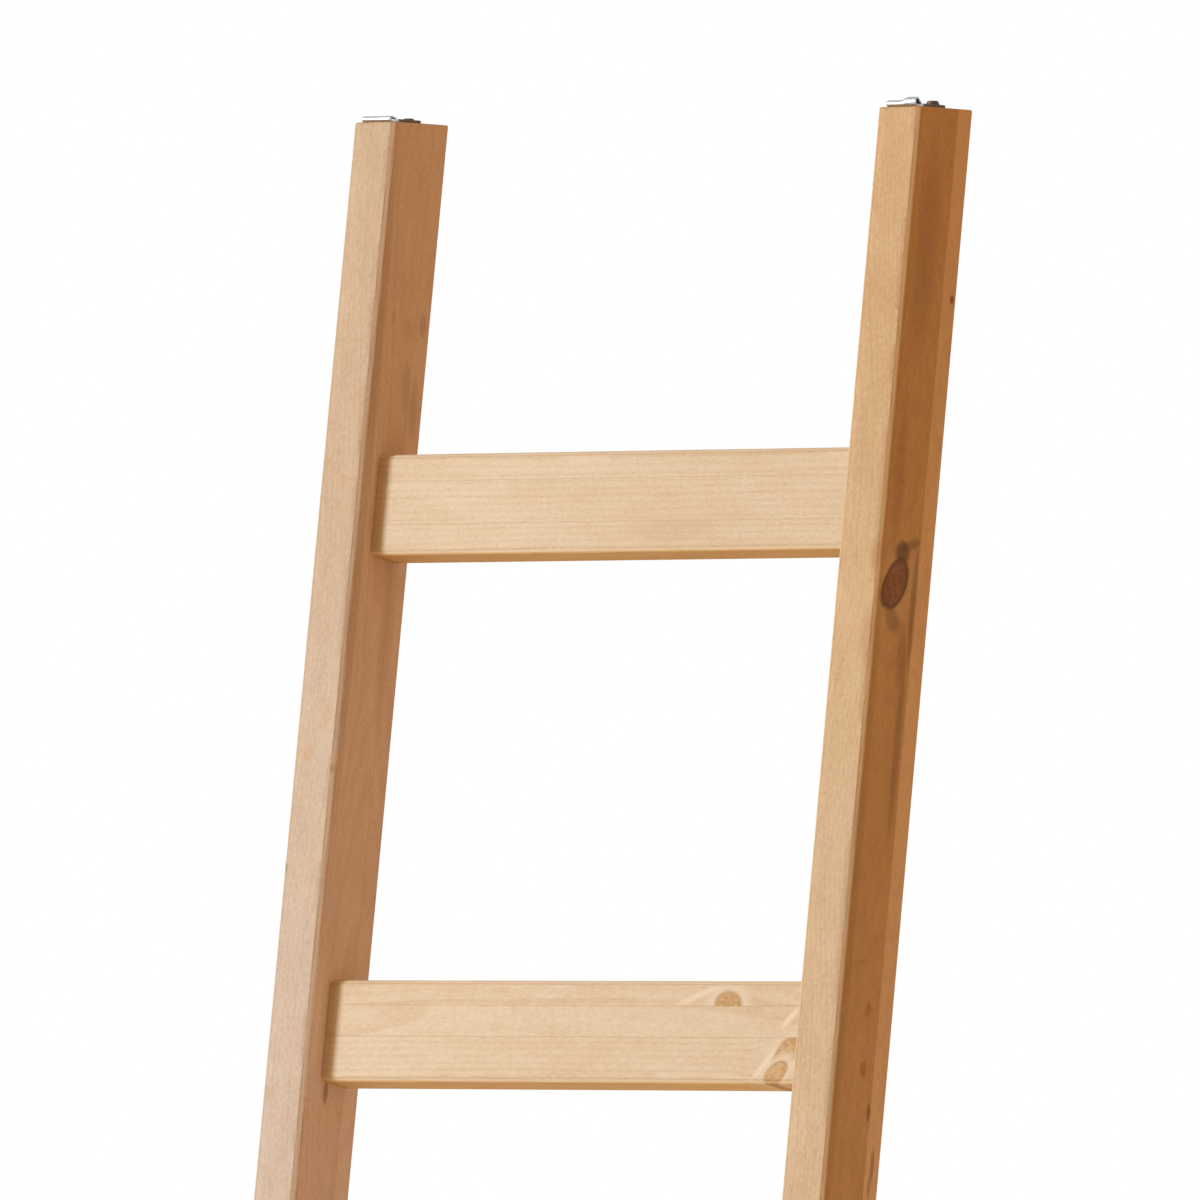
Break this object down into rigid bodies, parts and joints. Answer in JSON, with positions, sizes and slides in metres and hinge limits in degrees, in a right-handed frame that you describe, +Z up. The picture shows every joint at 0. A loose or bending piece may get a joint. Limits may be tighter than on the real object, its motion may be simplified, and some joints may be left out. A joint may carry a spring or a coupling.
{
  "type": "leaning quilt rack",
  "caption": "Leaning pine ladder rack: flat rungs doweled between level-cut rails, steel hanger plates on top and rubber foot pads, for hanging quilts and blankets.",
  "frame": {"origin": "on the floor, half way between the rails and half way between the front of the feet and the back of the rail tops", "axes": "+Z up, +X along the rungs to the right, -Y the front; the rails lean back 9.8 degrees towards +Y"},
  "size_m": [0.453, 0.355, 1.6542],
  "materials": {
    "rail_pine": "clear satin",
    "rung_pine": "clear satin",
    "beech": "plain",
    "zinc_steel": "zinc plated",
    "screw_steel": "zinc plated",
    "pad_rubber": "matte"
  },
  "bodies": {
    "root": {"left_rail": "rail_pine", "left_hanger_plate": "zinc_steel", "left_hanger_screws": "screw_steel", "left_foot_pad": "pad_rubber", "left_foot_nails": "screw_steel", "right_rail": "rail_pine", "right_hanger_plate": "zinc_steel", "right_hanger_screws": "screw_steel", "right_foot_pad": "pad_rubber", "right_foot_nails": "screw_steel", "rung_1": "rung_pine", "rung_1_left_dowels": "beech", "rung_1_right_dowels": "beech", "rung_2": "rung_pine", "rung_2_left_dowels": "beech", "rung_2_right_dowels": "beech", "rung_3": "rung_pine", "rung_3_left_dowels": "beech", "rung_3_right_dowels": "beech", "rung_4": "rung_pine", "rung_4_left_dowels": "beech", "rung_4_right_dowels": "beech"}
  },
  "joints": []
}
